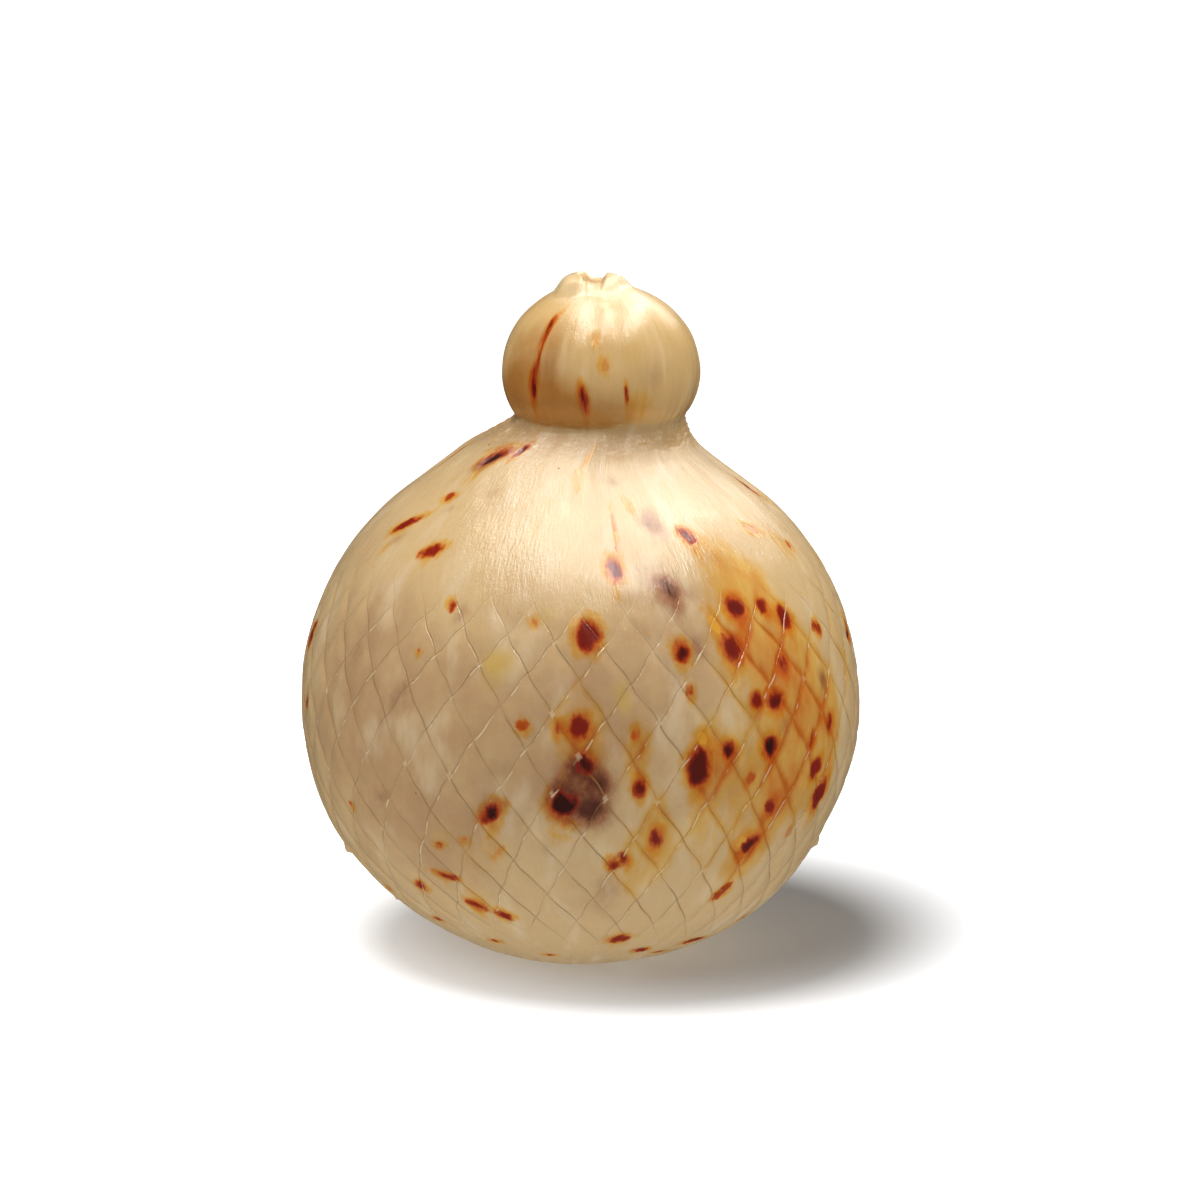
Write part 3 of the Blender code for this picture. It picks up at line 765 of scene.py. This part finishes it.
def net_marks(g, place, unrolled, netted):
    """Masks of the falling and the rising lines, the painted glints beside them, painted glints at some
    knots, and the grooves.
    """
    falling, rising = thread_sides(g, unrolled)
    beside_falling = g.sum("ABSOLUTE", falling)
    beside_rising = g.sum("ABSOLUTE", rising)
    faint = g.step(g.cloud(place, 13 * MM, 3), 0.36, 0.6, 0.35, 1.0)
    held = g.sum("MULTIPLY", netted, faint)
    falling_line = g.sum("MULTIPLY", g.step(beside_falling, FALLING_LINE, THREAD_CORE), held)
    rising_line = g.sum("MULTIPLY", g.step(beside_rising, RISING_LINE, THREAD_CORE), held)
    # Painted glints on the lit side of the rising lines, broken up
    painted_glints = g.step(g.sum("ABSOLUTE", g.sum("SUBTRACT", rising, RISING_LINE)), 0.028, 0.008)
    broken = g.step(g.cloud(place, 4 * MM, 3), 0.5, 0.62)
    painted_glints = g.sum("MULTIPLY", painted_glints, g.sum("MULTIPLY", broken, netted))
    # Painted glints at some knots
    knot_glints = g.step(g.sum("MAXIMUM", beside_falling, beside_rising), 0.085, 0.03)
    knot_glints = g.sum("MULTIPLY", knot_glints, g.step(g.cloud(place, 11 * MM, 2), 0.56, 0.62))
    knot_glints = g.sum("MULTIPLY", knot_glints, netted)
    groove = g.step(g.sum("MINIMUM", beside_falling, beside_rising), 0.16, 0.01)
    groove = g.sum("MULTIPLY", groove, netted)
    return falling_line, rising_line, painted_glints, knot_glints, groove


def skin_colour(g, place, unrolled, fine, edge, marks):
    """Every layer of colour, from the rind up to the threads' painted glints."""
    falling_line, rising_line, painted_glints, knot_glints, groove = marks
    colour = rind_colour(g, place, unrolled)
    colour = pool_colours(g, colour, place, fine, groove)
    oiled = g.step(g.sum("MAXIMUM", g.mask("oil"), g.mask("halo")), 0.1, 0.55)
    # The lines: the string's mark and painted shade in the groove, orange where oil has run in
    line_shade_and_stain = g.mix(oiled, THREAD_MARK_AND_SHADE, THREAD_ORANGE)
    colour = g.mix(g.sum("MULTIPLY", falling_line, 0.75), colour, line_shade_and_stain)
    colour = g.mix(g.sum("MULTIPLY", rising_line, 0.35), colour, line_shade_and_stain)
    colour = g.mix(specks(g, unrolled, 6 * MM, 0.45 * MM, 0.5), colour, AMBER)
    colour = g.mix(specks(g, place, 9 * MM, 0.4 * MM, 0.4), colour, RED)
    colour = flake_colours(g, colour, fine, edge)
    # Painted glints beside the rising threads, then at some knots
    colour = g.mix(g.sum("MULTIPLY", painted_glints, 0.75), colour, GLINT_AND_MARK_CREAM)
    return g.mix(g.sum("MULTIPLY", knot_glints, 0.5), colour, GLINT_AND_MARK_CREAM)


def skin_bump(g, place, unrolled, netted, edge, marks):
    """Crinkles that run up the skin, a fine grain, and the threads' lines."""
    falling_line, rising_line, painted_glints = marks[:3]
    crinkle = g.cloud(g.stretch(unrolled, (1, 1, 0.3)), 1.0 * MM, 4, 0.6)
    folds = g.cloud(g.stretch(unrolled, (1, 1, 0.25)), 4.5 * MM, 3, 0.55)
    crinkle = g.sum("ADD", crinkle, g.sum("MULTIPLY", folds, 0.6))
    crinkle = g.sum("MULTIPLY", crinkle, g.step(netted, 0.0, 1.0, 0.27, 0.2))
    crinkle = g.sum("MULTIPLY", crinkle, g.step(g.mask("head"), 0.0, 1.0, 1.0, 0.3))
    grain = g.cloud(place, 0.8 * MM, 4, 0.6)
    height = g.sum("ADD", crinkle, g.sum("MULTIPLY", grain, 0.09))
    height = g.sum("MULTIPLY", height, g.step(edge, 0.0, 1.2, 0.7, 1.0))
    height = g.sum("SUBTRACT", height, g.sum("MULTIPLY", falling_line, LINE_DEPTH))
    height = g.sum("SUBTRACT", height, g.sum("MULTIPLY", rising_line, LINE_DEPTH))
    height = g.sum("ADD", height, g.sum("MULTIPLY", painted_glints, 0.12))
    bump = g.add("ShaderNodeBump")
    bump.inputs["Distance"].default_value = 1.0 * MM
    bump.inputs["Strength"].default_value = 0.8
    g.put(height, bump.inputs["Height"])
    return bump.outputs[0]


def cheese_material():
    g = Nodes("cheese_rind")
    place = g.add("ShaderNodeTexCoord").outputs["Object"]
    unrolled = g.add("ShaderNodeAttribute", attribute_name="unrolled").outputs["Vector"]
    fine = g.stretch(unrolled, (1, 1, 0.75))
    netted = g.mask("netted")
    marks = net_marks(g, place, unrolled, netted)
    ragged = g.sum("ADD", g.swing(g.cloud(fine, 3.0 * MM, 2, 0.5), 2.1), g.mask("flake"))
    edge = g.sum("ADD", ragged, g.step(g.mask("tone"), 0.0, 1.0, 0.35, 0.1))
    g.put(skin_colour(g, place, unrolled, fine, edge, marks), g.shader.inputs["Base Color"])
    g.put(skin_bump(g, place, unrolled, netted, edge, marks), g.shader.inputs["Normal"])
    g.put(g.step(g.cloud(place, 6 * MM, 4), 0.3, 0.7, *ROUGHNESS), g.shader.inputs["Roughness"])
    g.shader.inputs["IOR"].default_value = 1.6
    g.shader.inputs["Specular IOR Level"].default_value = 0.85
    g.shader.inputs["Specular Tint"].default_value = (1.0, 0.96, 0.88, 1)
    g.shader.inputs["Subsurface Weight"].default_value = 0.3
    g.shader.inputs["Subsurface Radius"].default_value = (1.0, 0.55, 0.25)
    g.shader.inputs["Subsurface Scale"].default_value = 3.5 * MM
    return g.material


def floor_material():
    """Pale and matt, with a painted glow: dim round the shadow's middle and full farther out, so the floor
    is white and the shadow fades into it.
    """
    g = Nodes("floor")
    place = g.add("ShaderNodeTexCoord").outputs["Object"]
    away = g.add("ShaderNodeVectorMath", operation="DISTANCE")
    g.put(place, away.inputs[0])
    away.inputs[1].default_value = SHADOW_MIDDLE
    g.shader.inputs["Base Color"].default_value = (FLOOR_GREY, FLOOR_GREY, FLOOR_GREY, 1)
    g.shader.inputs["Roughness"].default_value = 0.9
    g.shader.inputs["Emission Color"].default_value = (1, 1, 1, 1)
    # Painted glow, dim round the shadow's middle and full farther out
    glow = g.step(away.outputs["Value"], *SHADOW_RADII, SHADOW_GLOW, 1.0)
    g.put(glow, g.shader.inputs["Emission Strength"])
    return g.material


def add_floor():
    bpy.ops.mesh.primitive_plane_add(size=12, location=(0, 0, -0.2 * MM))
    floor = bpy.context.object
    floor.name = "floor"
    floor.data.materials.append(floor_material())
    floor.visible_glossy = False
    floor.visible_diffuse = False


def add_softbox(name, place, turn, size, power, hidden):
    """An area light turned by angles in degrees about X and Y. A hidden one shows in no reflection."""
    pitch, lean = map(math.radians, turn)
    bpy.ops.object.light_add(type="AREA", location=place, rotation=(pitch, lean, 0))
    light = bpy.context.object
    light.name = name
    light.data.shape = "ELLIPSE"
    light.data.size, light.data.size_y = size
    light.data.energy = power
    light.visible_glossy = not hidden
    light.visible_camera = False
    return light


def add_camera():
    tilt = math.radians(CAMERA_ELEVATION)
    back = Vector((0, -math.cos(tilt), math.sin(tilt)))
    place = CAMERA_TARGET + back * CAMERA_DISTANCE
    bpy.ops.object.camera_add(location=place, rotation=(-back).to_track_quat("-Z", "Y").to_euler())
    camera = bpy.context.object
    camera.data.lens = CAMERA_LENS
    camera.data.sensor_width = 36
    bpy.context.scene.camera = camera


def light_alone(light, receivers):
    """The light falls on the receivers alone, and only the cheese blocks it."""
    light.light_linking.receiver_collection = receivers
    light.light_linking.blocker_collection = bpy.data.collections["lit_alone"]


def light_scene():
    for collection, piece in (("lit_alone", "cheese_skin"), ("floor_alone", "floor")):
        bpy.data.collections.new(collection).objects.link(bpy.data.objects[piece])
    light_alone(add_softbox(*FLOOR_LIGHT), bpy.data.collections["floor_alone"])
    for row in CHEESE_LIGHTS:
        light_alone(add_softbox(*row), bpy.data.collections["lit_alone"])
    world = bpy.data.worlds.new("studio")
    world.use_nodes = True
    world.node_tree.nodes["Background"].inputs["Color"].default_value = (1, 1, 1, 1)
    world.node_tree.nodes["Background"].inputs["Strength"].default_value = WORLD_STRENGTH
    bpy.context.scene.world = world
    bpy.context.scene.view_settings.view_transform = "Standard"


bpy.ops.object.select_all(action="DESELECT")
skin = make_skin()
skin.data.materials.append(cheese_material())
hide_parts("cheese")
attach(skin, "root")
add_floor()
light_scene()
add_camera()

bpy.context.view_layer.update()
